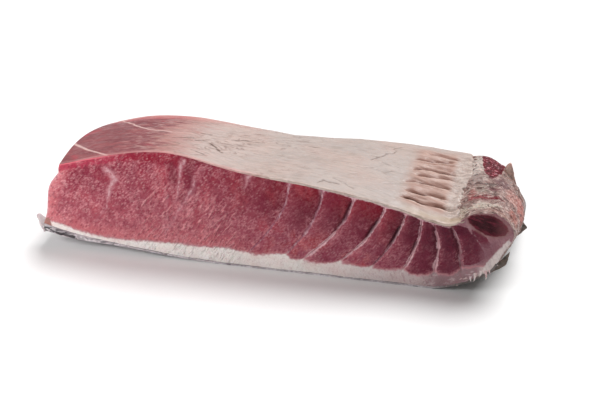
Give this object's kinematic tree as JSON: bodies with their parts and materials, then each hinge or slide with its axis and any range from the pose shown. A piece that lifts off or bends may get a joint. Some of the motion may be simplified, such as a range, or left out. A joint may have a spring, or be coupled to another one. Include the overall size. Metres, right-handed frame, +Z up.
{
  "type": "tuna belly",
  "caption": "Thick raw tuna belly block with skin below, pale lining above, and flaked red flesh on its cut faces.",
  "frame": {"origin": "middle of the underside of the box that holds the block, at the height of the table it lies on", "axes": "+X from the flank side to the belly edge, +Y from the front cut face to the back cut face, +Z up"},
  "size_m": [0.4394, 0.1304, 0.106],
  "materials": {
    "flesh": "moist raw red flesh, marbled with fat, semi-gloss",
    "lining": "smooth pale belly lining, moist and slightly wrinkled",
    "fat": "soft white fat, moist",
    "skin": "silver-grey fish skin with darker mottling, wet sheen"
  },
  "bodies": {
    "root": {"tuna_belly": "flesh"}
  },
  "joints": []
}
